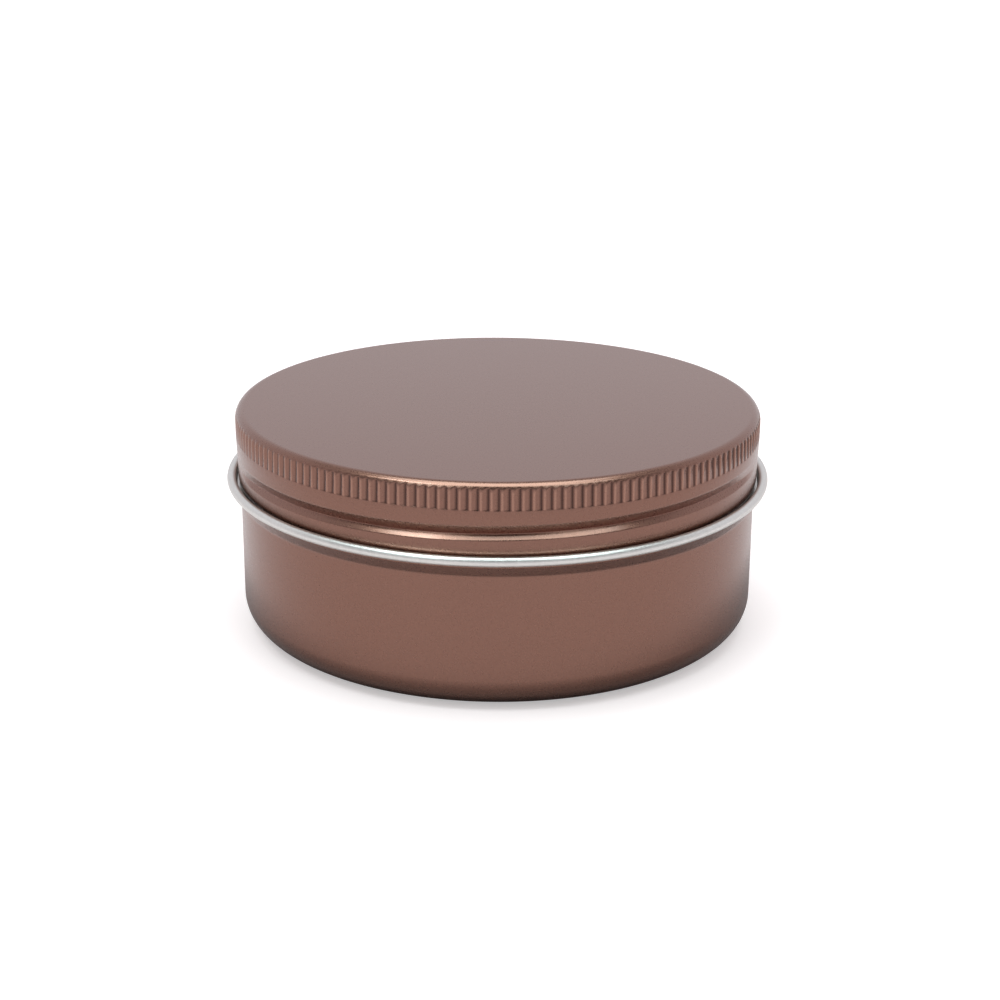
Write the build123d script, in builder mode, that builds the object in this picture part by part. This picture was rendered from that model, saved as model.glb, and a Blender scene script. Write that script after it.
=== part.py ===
from build123d import *

import os
from math import asin, cos, pi, sin

# A screw-top shoe polish tin of thin aluminium sheet: a drawn cup, a threaded neck ring whose
# flange is curled over the cup's edge, a screw lid with a foam liner, and the wax inside.
# Millimetres. The origin is the centre of the foot, on the surface the tin stands on; +Z is the
# tin's axis, upwards, and -Y is its front. Each sheet piece is drawn in the XZ plane as one face
# of its sheet, offset by the sheet's thickness and revolved.

# Driving sizes
sheet = 0.3
tin_height = 33.8
bead_outer_radius = 41.5
shell_radius = 39.45
lid_radius = 39.95
pitch = 3.0
gap = 0.05

# Shell: a drawn cup on a flat foot ring, flared at the top into the neck ring's bead
base_recess = 0.5
recess_radius = 31.8
foot_inner_radius = 33.6
foot_corner = 4.6
recess_bend = 1.5
flare_bend = 1.0
lip_bend = 0.6
flare_bottom = 20.3
flare_top = 22.2

# Neck ring: an open bead beside a trough, a threaded wall and a rolled rim
bead_tube = 0.72
bead_height = 23.04
bead_arc = (-88, 268)
trough_height = 22.35
trough_bends = [0.15, 0.3]
neck_radius = 38.2
rim_tube = 0.4
rim_height = 32.0
rim_arc = (0, 250)

# Lid: a cap with a fluted grip below its corner, a thread groove and a rolled hem
lid_corner = 1.37
flute_count = 175
flute_depth = 0.25
flute_width = 1.3
flute_phase = 0.21
flute_bottom = 29.95
flute_backing = 0.2
hem_tube = 0.4
hem_height = 23.35
hem_straight = 1.2
hem_arc = (0, -250)
wall_bend = 5.0
skirt_radius = 39.73

# Thread: two grooves pressed into the lid along one helix stand inside it as ridges, which hook
# under the ridge on the neck. Widths are half the section's at its inner radius; flares are the
# widening per mm of radius, and turns are degrees from the front.
groove_floor_radius = 38.97
groove_floor_half = 0.1
groove_lower_flare = 0.9
groove_upper_flare = 1.5
groove_turns = [(-66, 64), (114, 200)]
groove_height = 26.45
inner_ridge_half = 0.25
neck_ridge_radius = 38.84
neck_ridge_half = 0.72
neck_hollow_half = 0.55
neck_ridge_flare = -0.6
neck_ridge_turn = (-100, 240)
neck_ridge_height = groove_height + 1.14

# Liner and wax
liner_thickness = 1.0
liner_radius = 38.5
liner_edge = 0.2
wax_level = 23.0
wax_edge = 0.3
wax_foot_bend = 1.0

# Places that follow from them
front = 270
bead_radius = bead_outer_radius - bead_tube
bead_inner_radius = bead_radius - bead_tube
lip_radius = bead_inner_radius + 2 * sheet + gap
skin = sheet + gap


def polar(radius, angle):
    return (radius * cos(angle), radius * sin(angle))


def thread_section(inner_radius, inner_half, outer_radius, lower_flare, upper_flare):
    """Four corners, as radius and height: inner_half each side of 0 at inner_radius, widening
    downwards and upwards by the flares to outer_radius."""
    depth = outer_radius - inner_radius
    return [
        (inner_radius, -inner_half),
        (outer_radius, -inner_half - lower_flare * depth),
        (outer_radius, inner_half + upper_flare * depth),
        (inner_radius, inner_half),
    ]


def thread(section, height, turn):
    """The section swept along the thread between turn's two angles from the front, in degrees;
    its middle is at height at the front."""
    start_height = height + pitch * turn[0] / 360
    length = pitch * (turn[1] - turn[0]) / 360
    with BuildPart(mode=Mode.PRIVATE) as swept:
        with BuildSketch(Plane.XZ):
            with BuildLine():
                Polyline([(radius, start_height + rise) for radius, rise in section], close=True)
            make_face()
        sweep(path=Helix(pitch, length, lid_radius, center=(0, 0, start_height)), is_frenet=True)
    return swept.part.rotate(Axis.Z, front + turn[0])


with BuildPart() as body_shell:
    with BuildSketch(Plane.XZ):
        with BuildLine():
            FilletPolyline(
                (0, base_recess),
                (recess_radius, base_recess),
                (foot_inner_radius, 0),
                (shell_radius, 0),
                (shell_radius, flare_bottom),
                (lip_radius, flare_top),
                (lip_radius, bead_height + gap),
                radius=[recess_bend, recess_bend, foot_corner, flare_bend, lip_bend],
            )
            offset(amount=sheet, side=Side.LEFT)
        make_face()
    revolve(axis=Axis.Z)

with BuildPart() as neck_ring:
    with BuildSketch(Plane.XZ):
        with BuildLine():
            FilletPolyline(
                (bead_inner_radius, bead_height),
                (bead_inner_radius, trough_height),
                (neck_radius, trough_height),
                (neck_radius, rim_height),
                radius=trough_bends,
            )
            offset(amount=sheet, side=Side.LEFT)
        make_face()
        # The bead is open below, where the shell's lip goes in; the rim curls into the tin
        for centre, tube, curl in (
            ((bead_radius, bead_height), bead_tube, bead_arc),
            ((neck_radius - rim_tube, rim_height), rim_tube, rim_arc),
        ):
            with BuildLine():
                CenterArc(centre, tube, *curl)
                offset(amount=sheet, side=Side.LEFT)
            make_face()
    revolve(axis=Axis.Z)
    # The ridge is rolled out of the sheet, so the wall is hollow behind it
    for inner_radius, half, outer_radius, mode in (
        (neck_radius - sheet / 2, neck_ridge_half, neck_ridge_radius, Mode.ADD),
        (neck_radius - 1.5 * sheet, neck_hollow_half, neck_ridge_radius - sheet, Mode.SUBTRACT),
    ):
        section = thread_section(
            inner_radius, half, outer_radius, neck_ridge_flare, neck_ridge_flare
        )
        add(thread(section, neck_ridge_height, neck_ridge_turn), mode=mode)

with BuildPart() as lid_shell:
    with BuildSketch(Plane.XZ):
        with BuildLine():
            FilletPolyline(
                (0, tin_height),
                (lid_radius, tin_height),
                (lid_radius, flute_bottom),
                (skirt_radius, hem_height + hem_straight),
                (skirt_radius, hem_height),
                radius=[lid_corner, wall_bend, wall_bend],
            )
            offset(amount=sheet, side=Side.RIGHT)
        make_face()
        with BuildLine():
            CenterArc((skirt_radius - hem_tube, hem_height), hem_tube, *hem_arc)
            offset(amount=sheet, side=Side.RIGHT)
        make_face()
        # The metal that the flutes push in behind them
        with BuildLine():
            Polyline(
                (lid_radius - sheet / 2, flute_bottom),
                (lid_radius - sheet - flute_backing, flute_bottom + flute_backing),
                (lid_radius - sheet - flute_backing, tin_height - lid_corner),
                (lid_radius - sheet / 2, tin_height - lid_corner),
                close=True,
            )
        make_face()
    revolve(axis=Axis.Z)
    for inner_radius, half, outer_radius, mode in (
        (groove_floor_radius - sheet, inner_ridge_half, skirt_radius - gap, Mode.ADD),
        (groove_floor_radius, groove_floor_half, lid_radius + sheet, Mode.SUBTRACT),
    ):
        section = thread_section(
            inner_radius, half, outer_radius, groove_lower_flare, groove_upper_flare
        )
        for turn in groove_turns:
            add(thread(section, groove_height, turn), mode=mode)
    # The flutes are everything between the wall's circle and a ring of shallow arcs
    with BuildSketch(Plane.XY.offset(flute_bottom)):
        Circle(lid_radius + 1)
        with BuildLine():
            spacing = 2 * pi / flute_count
            half_flute = asin(flute_width / 2 / lid_radius)
            for i in range(flute_count):
                middle = spacing * (i + flute_phase)
                ThreePointArc(
                    polar(lid_radius, middle - half_flute),
                    polar(lid_radius - flute_depth, middle),
                    polar(lid_radius, middle + half_flute),
                )
                Line(
                    polar(lid_radius, middle + half_flute),
                    polar(lid_radius, middle + spacing - half_flute),
                )
        make_face(mode=Mode.SUBTRACT)
    extrude(amount=tin_height + 1 - flute_bottom, mode=Mode.SUBTRACT)

with BuildPart() as lid_liner:
    with BuildSketch(Plane.XY.offset(rim_height + rim_tube + gap)):
        Circle(liner_radius)
    extrude(amount=liner_thickness)
    fillet(lid_liner.edges().filter_by(GeomType.CIRCLE), radius=liner_edge)

with BuildPart() as polish:
    with BuildSketch(Plane.XZ):
        with BuildLine():
            cake = FilletPolyline(
                (0, base_recess + skin),
                (recess_radius, base_recess + skin),
                (foot_inner_radius, skin),
                (shell_radius - skin, skin),
                (shell_radius - skin, trough_height - skin),
                (neck_radius - skin, trough_height - skin),
                (neck_radius - skin, wax_level),
                (0, wax_level),
                radius=[wax_foot_bend, wax_foot_bend, foot_corner - skin, wax_edge, wax_edge, wax_edge],
            )
            Line(cake @ 1, cake @ 0)
        make_face()
    revolve(axis=Axis.Z)

os.makedirs("parts", exist_ok=True)
for piece, name in (
    (body_shell, "body_shell"),
    (neck_ring, "neck_ring"),
    (lid_shell, "lid_shell"),
    (lid_liner, "lid_liner"),
    (polish, "polish"),
):
    piece.part.label = name
    export_step(piece.part, f"parts/{name}.step")
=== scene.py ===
"""A screw-top tin of lacquered aluminium: brown shell and lid, bare neck ring, foam liner and wax.

Every piece is a bent sheet or a cake turned about the tin's axis. The pieces are drawn in
millimetres and the studio in metres. Azimuths are in degrees, and the front is at azimuth 270.
"""

import math

import bpy
import numpy as np
from mathutils import Matrix, Vector


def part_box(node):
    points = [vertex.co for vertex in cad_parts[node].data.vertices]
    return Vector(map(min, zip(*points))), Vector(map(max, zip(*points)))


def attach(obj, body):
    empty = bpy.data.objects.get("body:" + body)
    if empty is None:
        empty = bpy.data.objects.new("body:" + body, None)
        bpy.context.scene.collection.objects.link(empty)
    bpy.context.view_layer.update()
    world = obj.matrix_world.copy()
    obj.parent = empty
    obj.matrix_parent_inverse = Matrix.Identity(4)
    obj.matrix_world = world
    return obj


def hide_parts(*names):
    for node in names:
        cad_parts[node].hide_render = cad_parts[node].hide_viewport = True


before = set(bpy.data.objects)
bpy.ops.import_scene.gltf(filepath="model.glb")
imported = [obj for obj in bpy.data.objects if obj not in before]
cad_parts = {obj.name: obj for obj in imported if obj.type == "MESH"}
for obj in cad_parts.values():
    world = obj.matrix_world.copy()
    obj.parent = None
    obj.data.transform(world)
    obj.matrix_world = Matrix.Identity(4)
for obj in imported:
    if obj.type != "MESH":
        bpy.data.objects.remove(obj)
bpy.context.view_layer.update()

MM = 0.001
FRONT = 270            # azimuth that the camera looks at

# ---------------------------------------------------------------- sizes
# Radii are from the tin's axis and heights from the table. Each piece's outer radius, bottom and
# top come from the frame. Bends are listed in the order in which a section is drawn.

SHEET = 0.3            # thickness of the aluminium

BASE_RISE = 0.5        # height of the base's middle above the foot ring
RECESS_EDGE = 31.8     # radius where that middle ends
FOOT_EDGE = 33.6       # inner radius of the foot ring
SHELL_WALL = 39.45     # outer radius of the shell
FLARE_BOTTOM = 20.3    # height where the shell starts to widen
FLARE_TOP = 22.2       # height where it has its full width, inside the bead
SHELL_BENDS = [1.5, 1.5, 4.6, 1.0, 0.6]

BEAD_TUBE = 0.72       # outer radius of the bead's roll
BEAD_HEIGHT = 23.04    # height of the roll's middle
BEAD_ARC = (-88, 268)  # angle where the roll starts, and how far it goes round
TROUGH = 22.35         # height of the trough between the bead and the neck
TROUGH_BENDS = [0.15, 0.3]
NECK_WALL = 38.2       # outer radius of the neck
RIM_TUBE = 0.4         # outer radius of the neck's rolled rim
RIM_ARC = (0, 250)
RIDGE_HEIGHT = 27.59   # height of the neck's ridge at the front
# The ridge's section, as how far it stands out and how far above or below its own height
RIDGE_SECTION = [(0, -1.1), (0, -0.85), (0.64, -0.25), (0.64, 0.25), (0, 0.85), (0, 1.1)]
RIDGE_BENDS = [0.25] * 4
RIDGE_REACH = 1.2      # how far above and below the ridge the wall follows the helix fully

LID_CORNER = 1.37      # outer radius of the lid's top corner
CROWN_ROWS = (0, 20, 34)            # radii of the points across the lid's flat top
BAND_ROWS = (32.0, 31.2, 30.4)      # heights of the points down the fluted band
PLAIN_ROW = 29.0       # height of the point between the flutes and the groove
SKIRT = 39.73          # outer radius of the lid's skirt
SKIRT_ROWS = (24.6, 24.0)           # heights of the points between the groove and the hem
TAPER_BOTTOM = 24.55   # height where the skirt starts to widen towards the flutes
HEM_TUBE = 0.4         # outer radius of the hem's roll
HEM_ARC = (0, -250)

GROOVE_LEDGE = 27.95   # height where the groove starts, at the front
GROOVE_FLOOR = 26.44   # height of its deepest line
GROOVE_FOOT = 25.70    # height where its slope runs out on the skirt
GROOVE_DEPTH = 0.80
GROOVE_LEAD = 0.28     # height of wall that follows the groove, above it
GROOVE_TAIL = 0.2      # and below it
GROOVE_BENDS = [0.75, 0.12, 0.25]
LIFT_END = 29.85       # height where the wall above the groove no longer follows it

FLUTES = 175
FLUTE_DEPTH = 0.27
FLUTE_BOTTOM = 29.95   # height where the flutes have ended
FLUTE_RUN_OUT = 0.2    # height over which they end
FLUTE_FULL = 32.2      # height from which they have their full depth
FLUTE_FOOT_SHARE = 0.40             # share of the depth that is left where they start to end
FLUTE_START = -0.29    # where the first flute begins, as a share of the spacing
FLUTE_LAND = 0.047     # half of the land between two flutes, as a share of the spacing
FLUTE_CREASE = 0.694   # place of a flute's deepest line, as a share of the spacing
FLUTE_HOLLOW = 1.6     # how strongly the left side of a flute is hollowed: 1 is flat
FLUTE_STEPS = 8        # points across each flute
CREASE_SHADE_WIDTH = 0.23     # how far the painted shade reaches beside the crease, as a share of the spacing
LAND_HIGHLIGHT_WIDTH = 0.12      # how far the painted highlight reaches beside the land's middle

LINER_BENDS = [0.2, 0.2]

WAX_SHOULDER = 22.0    # height of the wax under the trough
WAX_NECK = 37.85       # radius of the wax inside the neck
WAX_DISH = 37.0        # radius where the wax's sunken top begins
WAX_SINK = (0.15, 0.25)             # how far it has sunk there and in the middle
WAX_BENDS = [1.0, 1.0, 4.2, 0.1, 0.1, 0.1, 0.4]

PITCH = 3.0            # rise of the thread in one turn
THREAD_LOW = -91       # turn, from the front, where the helix starts over
THREAD_FADE = 22       # degrees over which a press starts or ends
LID_ARCS = ((-78, 76), (102, 212))  # the turns in which the lid's grooves are pressed
LID_CLIMB = 190        # turn at which they stop rising and sink a little, below the flutes
NECK_ARCS = ((-90, 250),)           # the turns in which the neck's ridge is rolled

SEGMENTS = 360         # points round a plain piece
COARSE_SHARE = 4       # the lid has this many times fewer points round it away from its flutes
ARC_STEP = 10          # degrees between points round a bend
CRISP = 0.06           # distance of the points that keep a straight run flat beside a bend
ON_AXIS = 0.001        # a ring smaller than this is one point on the axis

ROUND = np.arange(SEGMENTS) * 360 / SEGMENTS
PAINTED_LIGHT_ATTRIBUTE = "painted_flute_light"  # name of the mesh attribute that holds the flutes' painted highlight and painted shade


def reach(node):
    """A node's outer radius, lowest height and highest height, in millimetres."""
    low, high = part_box(node)
    return high.x / MM, low.z / MM, high.z / MM


# ---------------------------------------------------------------- profiles

def arc(centre, radius, start, sweep, step=ARC_STEP):
    """Points round an arc, from the start angle through the sweep, in degrees."""
    count = max(2, round(abs(sweep) / step))
    angles = [math.radians(start + sweep * k / count) for k in range(count + 1)]
    return [(centre[0] + radius * math.cos(a), centre[1] + radius * math.sin(a)) for a in angles]


def rounded(corners, radii, step=ARC_STEP):
    """A run of (radius, height) points through the corners, each inner corner rounded."""
    points = [Vector(c) for c in corners]
    path = [points[0]]
    for before, corner, after, radius in zip(points, points[1:], points[2:], radii):
        back = (before - corner).normalized()
        ahead = (after - corner).normalized()
        half = back.angle(ahead) / 2
        setback = radius / math.tan(half)
        centre = corner + (back + ahead).normalized() * (radius / math.sin(half))
        first = corner + back * setback
        last = corner + ahead * setback
        start = (first - centre).angle_signed(Vector((1, 0)))
        sweep = (last - centre).angle_signed(first - centre)
        bend = arc(centre, radius, math.degrees(start), math.degrees(sweep), step)
        path.append(first + back * CRISP)
        path += [Vector(p) for p in bend]
        path.append(last + ahead * CRISP)
    path.append(points[-1])
    return [tuple(p) for p in path]


def normals(path):
    """Unit vectors to the left of a path, at each of its points."""
    path = np.array(path)
    runs = np.diff(path, axis=0)
    runs /= np.linalg.norm(runs, axis=1)[:, None]
    along = np.vstack([runs[:1], runs[:-1] + runs[1:], runs[-1:]])
    along /= np.linalg.norm(along, axis=1)[:, None]
    return np.column_stack([-along[:, 1], along[:, 0]])


def smooth(share):
    """0 to 1 as share goes from 0 to 1, level at both ends."""
    share = np.clip(share, 0, 1)
    return share * share * (3 - 2 * share)


# ---------------------------------------------------------------- meshes

def stitch(faces, a, b, start_a, start_b):
    """Add the faces between two rings of a and b points, where one is a multiple of the other."""
    if a > b:
        found = []
        stitch(found, b, a, start_b, start_a)
        faces += [tuple(reversed(f)) for f in found]
        return
    ratio = b // a
    middle = ratio // 2
    for i in range(a):
        here = start_a + i
        following = start_a + (i + 1) % a
        outer = [start_b + (i * ratio + k) % b for k in range(ratio + 1)]
        if a == 1:
            faces += [(here, p, q) for p, q in zip(outer, outer[1:])]
        elif ratio == 1:
            faces.append((here, outer[0], outer[1], following))
        else:
            faces += [(here, p, q) for p, q in zip(outer[:middle + 1], outer[1:middle + 1])]
            faces.append((here, outer[middle], following))
            faces += [(following, p, q) for p, q in zip(outer[middle:], outer[middle + 1:])]


def ring(radius, height, azimuths):
    """One ring of (radius, height, azimuth) points, or a single point on the axis."""
    radius = np.broadcast_to(radius, azimuths.shape)
    if radius.max() < ON_AXIS:
        return [(0, float(np.mean(height)), 0)]
    return np.column_stack([radius, np.broadcast_to(height, azimuths.shape), azimuths])


def skin(name, rings, closed=False):
    """A mesh through rings of points, the last joined to the first if it is closed."""
    points = []
    starts = []
    for row in rings:
        starts.append(len(points))
        radius, height, azimuth = np.array(row).T
        turn = np.radians(azimuth)
        points += list(zip(radius * np.cos(turn) * MM, radius * np.sin(turn) * MM, height * MM))
    faces = []
    pairs = list(zip(range(len(rings)), range(1, len(rings))))
    if closed:
        pairs.append((len(rings) - 1, 0))
    for i, j in pairs:
        stitch(faces, len(rings[i]), len(rings[j]), starts[i], starts[j])
    mesh = bpy.data.meshes.new(name)
    mesh.from_pydata(points, [], faces)
    mesh.update()
    mesh.shade_smooth()
    piece = bpy.data.objects.new(name, mesh)
    bpy.context.scene.collection.objects.link(piece)
    return piece


def turned(name, section):
    """A piece turned about the axis from its section, which starts and ends on the axis."""
    return skin(name, [ring(r, z, ROUND) for r, z in section])


# ---------------------------------------------------------------- thread

def turn_of(azimuths):
    """Degrees round from the front, to the right, from THREAD_LOW to THREAD_LOW + 360."""
    return (azimuths - FRONT - THREAD_LOW) % 360 + THREAD_LOW


def thread_press(azimuths, arcs):
    """How much of the thread's depth is pressed at each azimuth, from 0 to 1."""
    turn = turn_of(azimuths)
    amount = np.zeros(len(turn))
    for start, end in arcs:
        fade_in = smooth((turn - start) / THREAD_FADE)
        fade_out = smooth((end - turn) / THREAD_FADE)
        amount = np.maximum(amount, fade_in * fade_out)
    return amount


def thread_lift(azimuths, last_turn):
    """Rise of the helix from the front, up to last_turn, and from there back to its start."""
    turn = turn_of(azimuths)
    gap = THREAD_LOW + 360 - last_turn
    share = smooth((turn - last_turn) / gap)
    climbing = PITCH / 360 * np.minimum(turn, last_turn)
    return climbing * (1 - share) + PITCH / 360 * THREAD_LOW * share


# ---------------------------------------------------------------- shell and neck

def body_shell():
    """The drawn cup: a raised base, a foot ring, a round corner, a wall and a flared lip."""
    lip, _, top = reach("body_shell")
    corners = [(0, BASE_RISE), (RECESS_EDGE, BASE_RISE), (FOOT_EDGE, 0), (SHELL_WALL, 0),
               (SHELL_WALL, FLARE_BOTTOM), (lip, FLARE_TOP), (lip, top)]
    outer = np.array(rounded(corners, SHELL_BENDS, step=6))
    inner = outer + normals(outer) * SHEET
    inner[0][0] = 0                     # stays on the axis
    return turned("tin_shell", np.vstack([outer, inner[::-1]]))


def neck_ring():
    """The bead, the trough inside it, and the neck with its ridge and its rolled rim."""
    bead_outer, _, top = reach("neck_ring")
    bead = (bead_outer - BEAD_TUBE, BEAD_HEIGHT)
    rim = (NECK_WALL - RIM_TUBE, top - RIM_TUBE)
    curl = arc(bead, BEAD_TUBE, *BEAD_ARC, step=8)
    ridge = rounded([(out, RIDGE_HEIGHT + rise) for out, rise in RIDGE_SECTION], RIDGE_BENDS,
                    step=15)
    trough = rounded([curl[-1], (bead[0] - BEAD_TUBE, TROUGH), (NECK_WALL, TROUGH),
                      (NECK_WALL, ridge[0][1])], TROUGH_BENDS)
    below = curl + trough[1:-1]
    path = below + [(NECK_WALL, z) for _, z in ridge] + [(NECK_WALL, rim[1] - RIM_TUBE / 2)]
    path += arc(rim, RIM_TUBE, *RIM_ARC)
    press = np.zeros(len(path))
    press[len(below):len(below) + len(ridge)] = [out for out, _ in ridge]
    # Share of the helix's rise that each row takes: none at the trough and the rim
    heights = np.array(path)[:, 1]
    follow = np.interp(heights, [TROUGH + 1, RIDGE_HEIGHT - RIDGE_REACH,
                                 RIDGE_HEIGHT + RIDGE_REACH, rim[1] - RIM_TUBE], [0, 1, 1, 0])
    follow[:len(below) - 1] = 0
    amount = thread_press(ROUND, NECK_ARCS)
    lift = thread_lift(ROUND, NECK_ARCS[-1][1])
    outer = np.array(path)
    inner = outer + normals(path) * SHEET
    rows = list(range(len(path)))
    rings = []
    for face, order in ((outer, rows), (inner, rows[::-1])):
        for k in order:
            r, z = face[k]
            rings.append(ring(r + press[k] * amount, z + lift * follow[k], ROUND))
    return skin("neck_and_bead", rings, closed=True)


# ---------------------------------------------------------------- lid

def flute_phases():
    """Places across one flute, as shares of the spacing, the land's two edges first and last."""
    inside = 1 - 2 * FLUTE_LAND
    return np.array([FLUTE_LAND + inside * k / (FLUTE_STEPS - 1) for k in range(FLUTE_STEPS)])


def flute_cut(phases):
    """Depth of a flute at each phase: a hollow left side down to a crease, and a steeper right."""
    left = (phases - FLUTE_LAND) / (FLUTE_CREASE - FLUTE_LAND)
    right = (1 - FLUTE_LAND - phases) / (1 - FLUTE_LAND - FLUTE_CREASE)
    hollow = 1 - np.clip(1 - left, 0, 1) ** FLUTE_HOLLOW
    return FLUTE_DEPTH * np.minimum(hollow, np.clip(right, 0, 1))


def flute_painted_light(phases):
    """Painted light at each phase: 1 is a painted highlight on the lands, and -1 is painted shade
    in the creases.
    """
    crease_shade = np.clip(1 - np.abs(phases - FLUTE_CREASE) / CREASE_SHADE_WIDTH, 0, 1)
    land_highlight = np.clip(1 - np.minimum(phases, 1 - phases) / LAND_HIGHLIGHT_WIDTH, 0, 1)
    return land_highlight - crease_shade


def flute_end(height):
    """1 on the fluted band, down to 0 over its run-out."""
    return smooth((height - FLUTE_BOTTOM) / FLUTE_RUN_OUT)


def flute_share(height):
    """How much of a flute's depth is pressed at a height: it runs shallow towards its foot."""
    shallow = np.interp(height, [FLUTE_BOTTOM + FLUTE_RUN_OUT, FLUTE_FULL], [FLUTE_FOOT_SHARE, 1])
    return shallow * flute_end(height)


def lid_shell():
    """The drawn lid: flat top, round corner, flutes, thread grooves, skirt and rolled hem."""
    radius, bottom, top = reach("lid_shell")
    corner = (radius - LID_CORNER, top - LID_CORNER)
    hem = (SKIRT - HEM_TUBE, bottom + HEM_TUBE)

    def wall(height):
        """Radius of the wall before it is pressed."""
        return np.interp(height, [hem[1], TAPER_BOTTOM, FLUTE_BOTTOM, top],
                         [SKIRT, SKIRT, radius, radius])

    # The groove's own section: a ledge, a floor, and a slope that runs out on the skirt
    relief = rounded([(0, GROOVE_LEDGE + GROOVE_LEAD), (0, GROOVE_LEDGE),
                      (-GROOVE_DEPTH, GROOVE_FLOOR), (0, GROOVE_FOOT),
                      (0, GROOVE_FOOT - GROOVE_TAIL)], GROOVE_BENDS, step=8)
    # Rows of the outer face, from the middle of the top down to the hem
    sections = {
        "crown": [(r, top) for r in CROWN_ROWS] + [(corner[0] - 2 * CRISP, top)],
        "shoulder": arc(corner, LID_CORNER, 90, -60, step=7.5),
        "arches": arc(corner, LID_CORNER, 30, -30, step=3)[1:],
        "band": [(radius, z) for z in BAND_ROWS],
        "run_out": [(radius, FLUTE_BOTTOM + FLUTE_RUN_OUT * k / 4) for k in (4, 3, 2, 1, 0)],
        "plain": [(radius, PLAIN_ROW)],
        "groove": [(wall(z), z) for _, z in relief],
        "skirt": [(SKIRT, z) for z in SKIRT_ROWS],
        "hem": arc(hem, HEM_TUBE, *HEM_ARC, step=20),
    }
    path = sum(sections.values(), [])
    # The row after each section's last
    end = dict(zip(sections, np.cumsum([len(rows) for rows in sections.values()])))
    press = np.zeros(len(path))
    press[end["plain"]:end["groove"]] = [depth for depth, _ in relief]
    # Share of the helix's rise that each row takes: none from the flutes up and at the hem
    heights = np.array(path)[:, 1]
    follow = np.interp(heights, [hem[1], GROOVE_FOOT - GROOVE_TAIL, GROOVE_LEDGE + GROOVE_LEAD,
                                 LIFT_END], [0, 1, 1, 0])
    follow[:end["run_out"]] = 0
    follow[end["skirt"]:] = 0
    phases = flute_phases()
    fine = np.array([(k + p + FLUTE_START) * 360 / FLUTES for k in range(FLUTES) for p in phases])
    coarse = fine[::COARSE_SHARE]
    cut = np.tile(flute_cut(phases), FLUTES)
    # Painted shade in the flutes' creases and a painted highlight on their lands, kept as a mesh
    # attribute
    painted_light = np.tile(flute_painted_light(phases), FLUTES)
    right = -normals(path)
    right[0] = (0, -1)                  # straight down on the axis
    outer = np.array(path)
    inner = outer + right * SHEET
    rings = []
    painted_lights = []
    for k, (r, z) in enumerate(outer):
        azimuths = fine if end["crown"] <= k < end["plain"] else coarse
        moved = z + thread_lift(azimuths, LID_CLIMB) * follow[k]
        unpressed = wall(moved) if follow[k] else r
        here = unpressed + press[k] * thread_press(azimuths, LID_ARCS)
        if end["crown"] <= k < end["run_out"]:
            here = np.minimum(here, radius - cut * flute_share(z))
        rings.append(ring(here, moved, azimuths))
        fluted = end["shoulder"] <= k < end["run_out"]
        painted_lights.append(painted_light * flute_end(z) if fluted else 0 * azimuths)
    for k in reversed(range(len(inner))):
        r, z = inner[k]
        moved = z + thread_lift(coarse, LID_CLIMB) * follow[k]
        rings.append(ring(r + press[k] * thread_press(coarse, LID_ARCS), moved, coarse))
        painted_lights.append(0 * coarse)
    piece = skin("lid_cap", rings)
    painted_lights = [t[:len(row)] for t, row in zip(painted_lights, rings)]
    layer = piece.data.attributes.new(PAINTED_LIGHT_ATTRIBUTE, "FLOAT", "POINT")
    layer.data.foreach_set("value", np.concatenate(painted_lights).astype(np.float32))
    return piece


# ---------------------------------------------------------------- liner and wax

def liner():
    """The foam disc that lies on the neck's rim."""
    radius, low, high = reach("lid_liner")
    return turned("liner_disc", rounded([(0, low), (radius, low), (radius, high), (0, high)],
                                        LINER_BENDS, step=15))


def polish():
    """The cake of wax: it fills the tin over the raised base, and has sunk a little on top."""
    radius, low, high = reach("polish")
    middle = low + BASE_RISE
    corners = [(0, middle), (RECESS_EDGE, middle), (FOOT_EDGE, low), (radius, low),
               (radius, WAX_SHOULDER), (WAX_NECK, WAX_SHOULDER), (WAX_NECK, high),
               (WAX_DISH, high - WAX_SINK[0]), (0, high - WAX_SINK[1])]
    return turned("wax_cake", rounded(corners, WAX_BENDS, step=15))


# ---------------------------------------------------------------- nodes

def material(name):
    """A new node material with its Principled shader."""
    made = bpy.data.materials.new(name)
    made.use_nodes = True
    return made, made.node_tree.nodes, made.node_tree.links, made.node_tree.nodes["Principled BSDF"]


def grain(nodes, links, scale, stretch=(1, 1, 1), detail=4):
    """Noise in object space, in cycles per metre, squeezed along each axis by stretch."""
    place = nodes.new("ShaderNodeTexCoord")
    mapping = nodes.new("ShaderNodeMapping")
    mapping.inputs["Scale"].default_value = stretch
    noise = nodes.new("ShaderNodeTexNoise")
    noise.inputs["Scale"].default_value = scale
    noise.inputs["Detail"].default_value = detail
    links.new(place.outputs["Object"], mapping.inputs["Vector"])
    links.new(mapping.outputs["Vector"], noise.inputs["Vector"])
    return noise.outputs["Fac"]


def ranged(nodes, links, value, given, wanted, curve="LINEAR"):
    """The value, taken from the given range to the wanted one."""
    span = nodes.new("ShaderNodeMapRange")
    span.interpolation_type = curve
    span.inputs["From Min"].default_value, span.inputs["From Max"].default_value = given
    span.inputs["To Min"].default_value, span.inputs["To Max"].default_value = wanted
    links.new(value, span.inputs["Value"])
    return span.outputs["Result"]


NOISE_RANGE = (0.35, 0.65)   # what most of a noise lies between


def spread(nodes, links, noise, low, high):
    """A number between low and high, driven by noise."""
    return ranged(nodes, links, noise, NOISE_RANGE, (low, high))


def tint(nodes, links, noise, first, second):
    """A colour between two, driven by noise."""
    mix = nodes.new("ShaderNodeMix")
    mix.data_type = "RGBA"
    mix.inputs["A"].default_value = (*first, 1)
    mix.inputs["B"].default_value = (*second, 1)
    links.new(spread(nodes, links, noise, 0, 1), mix.inputs["Factor"])
    return mix.outputs["Result"]


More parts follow.
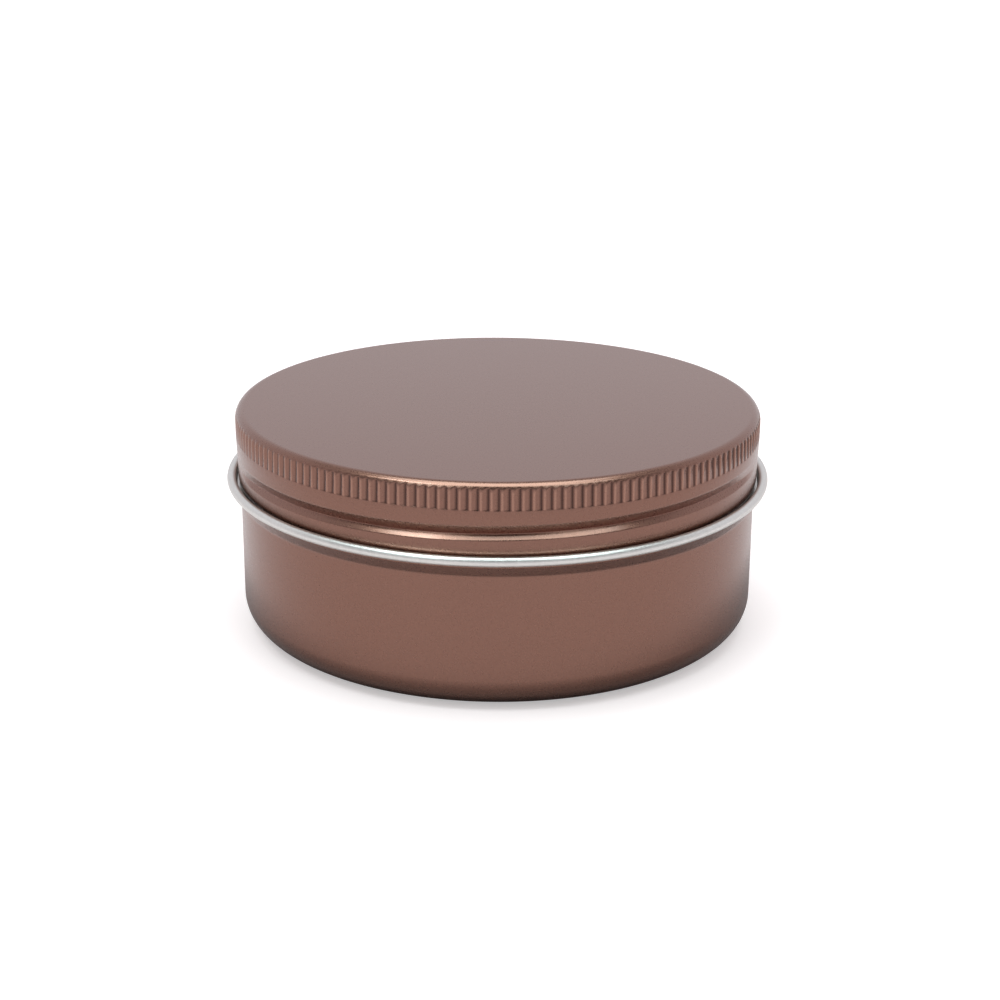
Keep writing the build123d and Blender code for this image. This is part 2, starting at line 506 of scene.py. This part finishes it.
def bump(nodes, links, noise, distance):
    """Bump of a real depth, in metres."""
    node = nodes.new("ShaderNodeBump")
    node.inputs["Strength"].default_value = 1.0
    node.inputs["Distance"].default_value = distance
    links.new(noise, node.inputs["Height"])
    return node.outputs["Normal"]


# ---------------------------------------------------------------- materials

CREASE_SHADE = (0.18, 0.11, 0.10, 1)   # what the lacquer's colour is multiplied by for the painted shade in the flutes' creases
LAND_HIGHLIGHT = (1.8, 1.95, 2.0, 1)      # and for the painted highlight on their lands
PLAIN_LACQUER = (1, 1, 1, 1)


def brown_lacquer():
    """Metallic brown lacquer with a fine fleck, under a clear coat, with painted shade and painted
    highlight on the flutes.
    """
    made, nodes, links, shader = material("brown_lacquer")
    fleck = grain(nodes, links, 3500)
    body = tint(nodes, links, fleck, (0.272, 0.134, 0.096), (0.292, 0.144, 0.104))
    # Painted shade in the flutes' creases and painted highlight on their lands, read from the mesh
    # attribute
    painted_light = nodes.new("ShaderNodeAttribute")
    painted_light.attribute_name = PAINTED_LIGHT_ATTRIBUTE
    ramp = nodes.new("ShaderNodeValToRGB")
    ramp.color_ramp.elements[0].color = CREASE_SHADE
    ramp.color_ramp.elements[1].color = LAND_HIGHLIGHT
    ramp.color_ramp.elements.new(0.5).color = PLAIN_LACQUER
    links.new(ranged(nodes, links, painted_light.outputs["Fac"], (-1, 1), (0, 1)), ramp.inputs["Fac"])
    coloured = nodes.new("ShaderNodeMix")
    coloured.data_type = "RGBA"
    coloured.blend_type = "MULTIPLY"
    coloured.inputs["Factor"].default_value = 1
    links.new(body, coloured.inputs["A"])
    links.new(ramp.outputs["Color"], coloured.inputs["B"])
    links.new(coloured.outputs["Result"], shader.inputs["Base Color"])
    links.new(spread(nodes, links, fleck, 0.27, 0.31), shader.inputs["Roughness"])
    links.new(bump(nodes, links, fleck, 0.000002), shader.inputs["Normal"])
    shader.inputs["Metallic"].default_value = 1.0
    shader.inputs["Coat Weight"].default_value = 0.6
    shader.inputs["Coat Roughness"].default_value = 0.15
    shader.inputs["Coat IOR"].default_value = 1.5
    return made


def bare_aluminium():
    """Satin aluminium with short upright streaks."""
    made, nodes, links, shader = material("bare_aluminium")
    streaks = grain(nodes, links, 2500, (1, 1, 0.2))
    links.new(tint(nodes, links, streaks, (0.83, 0.82, 0.79), (0.88, 0.87, 0.84)),
              shader.inputs["Base Color"])
    links.new(spread(nodes, links, streaks, 0.33, 0.37), shader.inputs["Roughness"])
    links.new(bump(nodes, links, streaks, 0.0000005), shader.inputs["Normal"])
    shader.inputs["Metallic"].default_value = 1.0
    return made


def foam():
    """Matt off-white foam with fine cells."""
    made, nodes, links, shader = material("foam")
    cells = grain(nodes, links, 4000, detail=8)
    links.new(tint(nodes, links, cells, (0.70, 0.70, 0.67), (0.84, 0.84, 0.81)),
              shader.inputs["Base Color"])
    links.new(spread(nodes, links, cells, 0.75, 0.95), shader.inputs["Roughness"])
    links.new(bump(nodes, links, cells, 0.00005), shader.inputs["Normal"])
    return made


def wax():
    """Dark brown wax, slightly cloudy and uneven."""
    made, nodes, links, shader = material("wax")
    cloud = grain(nodes, links, 120, detail=6)
    links.new(tint(nodes, links, cloud, (0.060, 0.026, 0.012), (0.085, 0.038, 0.018)),
              shader.inputs["Base Color"])
    links.new(spread(nodes, links, cloud, 0.32, 0.46), shader.inputs["Roughness"])
    links.new(bump(nodes, links, cloud, 0.00008), shader.inputs["Normal"])
    return made


# ---------------------------------------------------------------- the studio

COOL = (0.84, 1.0, 1.0)      # colour of the lamps
WARM = (1.0, 0.86, 0.86)     # colour of the table, which turns the lamps' light white again
SKY = (1, 0.975, 1.02, 1)    # colour of the walls and ceiling

TABLE_SIZE = 12.0
TABLE_SEEN = 0.87            # how light the table is to the camera
TABLE_GLOW = 0.42            # and how much it glows to the camera
TABLE_MIRRORED_WITH_SHADOW = (0.33, 0.78)           # how light the tin mirrors it: close by, where a painted shadow darkens it, and further off
TABLE_FALL = (0.036, 0.052)  # distances from the axis between which that changes
TABLE_SQUASH = (0.86, 1, 1)  # those distances are longer to the left and right
TABLE_SHIFT = (-0.002, 0, 0)

FRONT_TO_BACK = (-0.45, 0.25)           # y of a direction, from wholly front to wholly back
BACK_HEIGHTS = (0.65, 0.85)             # z of a direction at the back, over which it darkens
BACK_LIGHT = (0.68, 0.25)               # from this strength to this
FRONT_HEIGHTS = (0.25, 0.70)
FRONT_LIGHT = (0.52, 0.10)

LAMP_AIM = (0, 0, 0.03)
LAMPS = [   # name, place, width and depth, watts
    ("overhead_box", (0, 0.05, 3.0), (2.3, 2.4), 60.0),
    ("left_lamp", (-1.35, -0.62, 2.95), (1.1, 0.5), 15.0),
    ("right_lamp", (1.50, -0.66, 2.95), (0.9, 0.5), 6.0),
    ("left_key", (-1.1, -1.55, 2.2), (0.7, 1.2), 8.0),
    ("right_key", (1.1, -1.45, 2.2), (0.7, 1.2), 5.0),
]

CAMERA_TARGET = (0, 0, 0.017)
CAMERA_DISTANCE = 0.300
CAMERA_ELEVATION = 19.35
CAMERA_ROLL = 0.3
CAMERA_LENS = 69.26
CAMERA_SENSOR = 36
CAMERA_SHIFT = (0.0027, 0.0043)


def floor():
    """A white table, which the tin mirrors as paper darkened close to the tin by a painted shadow.
    """
    bpy.ops.mesh.primitive_plane_add(size=TABLE_SIZE, location=(0, 0, 0))
    plane = bpy.context.object
    plane.name = "table_top"
    made, nodes, links, shader = material("white_table")
    place = nodes.new("ShaderNodeTexCoord")
    oval = nodes.new("ShaderNodeMapping")
    oval.inputs["Location"].default_value = TABLE_SHIFT
    oval.inputs["Scale"].default_value = TABLE_SQUASH
    links.new(place.outputs["Object"], oval.inputs["Vector"])
    away = nodes.new("ShaderNodeVectorMath")
    away.operation = "LENGTH"
    links.new(oval.outputs["Vector"], away.inputs[0])
    # Painted shadow: the table, as the tin mirrors it, is darker close to the tin
    mirrored_shadow = ranged(nodes, links, away.outputs["Value"], TABLE_FALL, TABLE_MIRRORED_WITH_SHADOW, "SMOOTHSTEP")
    seen = nodes.new("ShaderNodeLightPath")
    lightness = nodes.new("ShaderNodeMix")
    links.new(seen.outputs["Is Camera Ray"], lightness.inputs["Factor"])
    links.new(mirrored_shadow, lightness.inputs["A"])
    lightness.inputs["B"].default_value = TABLE_SEEN
    warm = nodes.new("ShaderNodeVectorMath")
    warm.operation = "SCALE"
    warm.inputs[0].default_value = WARM
    links.new(lightness.outputs["Result"], warm.inputs["Scale"])
    links.new(warm.outputs["Vector"], shader.inputs["Base Color"])
    shader.inputs["Roughness"].default_value = 0.6
    shader.inputs["Emission Color"].default_value = (1, 1, 1, 1)
    glow = nodes.new("ShaderNodeMath")
    glow.operation = "MULTIPLY"
    glow.inputs[1].default_value = TABLE_GLOW
    links.new(seen.outputs["Is Camera Ray"], glow.inputs[0])
    links.new(glow.outputs["Value"], shader.inputs["Emission Strength"])
    plane.data.materials.append(made)


def lamp(name, place, size, watts):
    """A soft box: a rectangular lamp at a place, turned to the tin."""
    data = bpy.data.lights.new(name, "AREA")
    data.shape = "RECTANGLE"
    data.size, data.size_y = size
    data.energy = watts
    data.color = COOL
    made = bpy.data.objects.new(name, data)
    made.location = place
    made.rotation_euler = (Vector(LAMP_AIM) - Vector(place)).to_track_quat("-Z", "Y").to_euler()
    bpy.context.scene.collection.objects.link(made)


def studio():
    """Pale walls, brighter at the back and darker towards the ceiling, with soft lamps overhead."""
    world = bpy.data.worlds.new("studio")
    bpy.context.scene.world = world
    world.use_nodes = True
    nodes, links = world.node_tree.nodes, world.node_tree.links
    sky = nodes["Background"]
    sky.inputs["Color"].default_value = SKY
    place = nodes.new("ShaderNodeTexCoord")
    split = nodes.new("ShaderNodeSeparateXYZ")
    links.new(place.outputs["Generated"], split.inputs["Vector"])
    depth, height = split.outputs["Y"], split.outputs["Z"]
    shade = nodes.new("ShaderNodeMix")
    for socket, value, given, wanted in (("Factor", depth, FRONT_TO_BACK, (0, 1)),
                                         ("A", height, FRONT_HEIGHTS, FRONT_LIGHT),
                                         ("B", height, BACK_HEIGHTS, BACK_LIGHT)):
        links.new(ranged(nodes, links, value, given, wanted, "SMOOTHSTEP"), shade.inputs[socket])
    links.new(shade.outputs["Result"], sky.inputs["Strength"])
    for row in LAMPS:
        lamp(*row)


def camera():
    """The camera, in front of the tin and a little above it."""
    data = bpy.data.cameras.new("view")
    data.lens = CAMERA_LENS
    data.sensor_width = CAMERA_SENSOR
    data.shift_x, data.shift_y = CAMERA_SHIFT
    made = bpy.data.objects.new("view", data)
    rise = math.radians(CAMERA_ELEVATION)
    back = Vector((0, -math.cos(rise), math.sin(rise)))
    made.location = Vector(CAMERA_TARGET) + CAMERA_DISTANCE * back
    looking = (-back).to_track_quat("-Z", "Y").to_matrix()
    roll = Matrix.Rotation(math.radians(CAMERA_ROLL), 3, "Z")
    made.rotation_euler = (looking @ roll).to_euler()
    bpy.context.scene.collection.objects.link(made)
    bpy.context.scene.camera = made
    bpy.context.scene.view_settings.view_transform = "Standard"


# ---------------------------------------------------------------- assembly

def finish_piece(piece, node, body, look):
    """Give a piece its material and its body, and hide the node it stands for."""
    piece.data.materials.append(look)
    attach(piece, body)
    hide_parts(node)


camera()
studio()
floor()
lacquer = brown_lacquer()
finish_piece(body_shell(), "body_shell", "tin", lacquer)
finish_piece(neck_ring(), "neck_ring", "tin", bare_aluminium())
finish_piece(polish(), "polish", "tin", wax())
finish_piece(lid_shell(), "lid_shell", "lid", lacquer)
finish_piece(liner(), "lid_liner", "liner", foam())
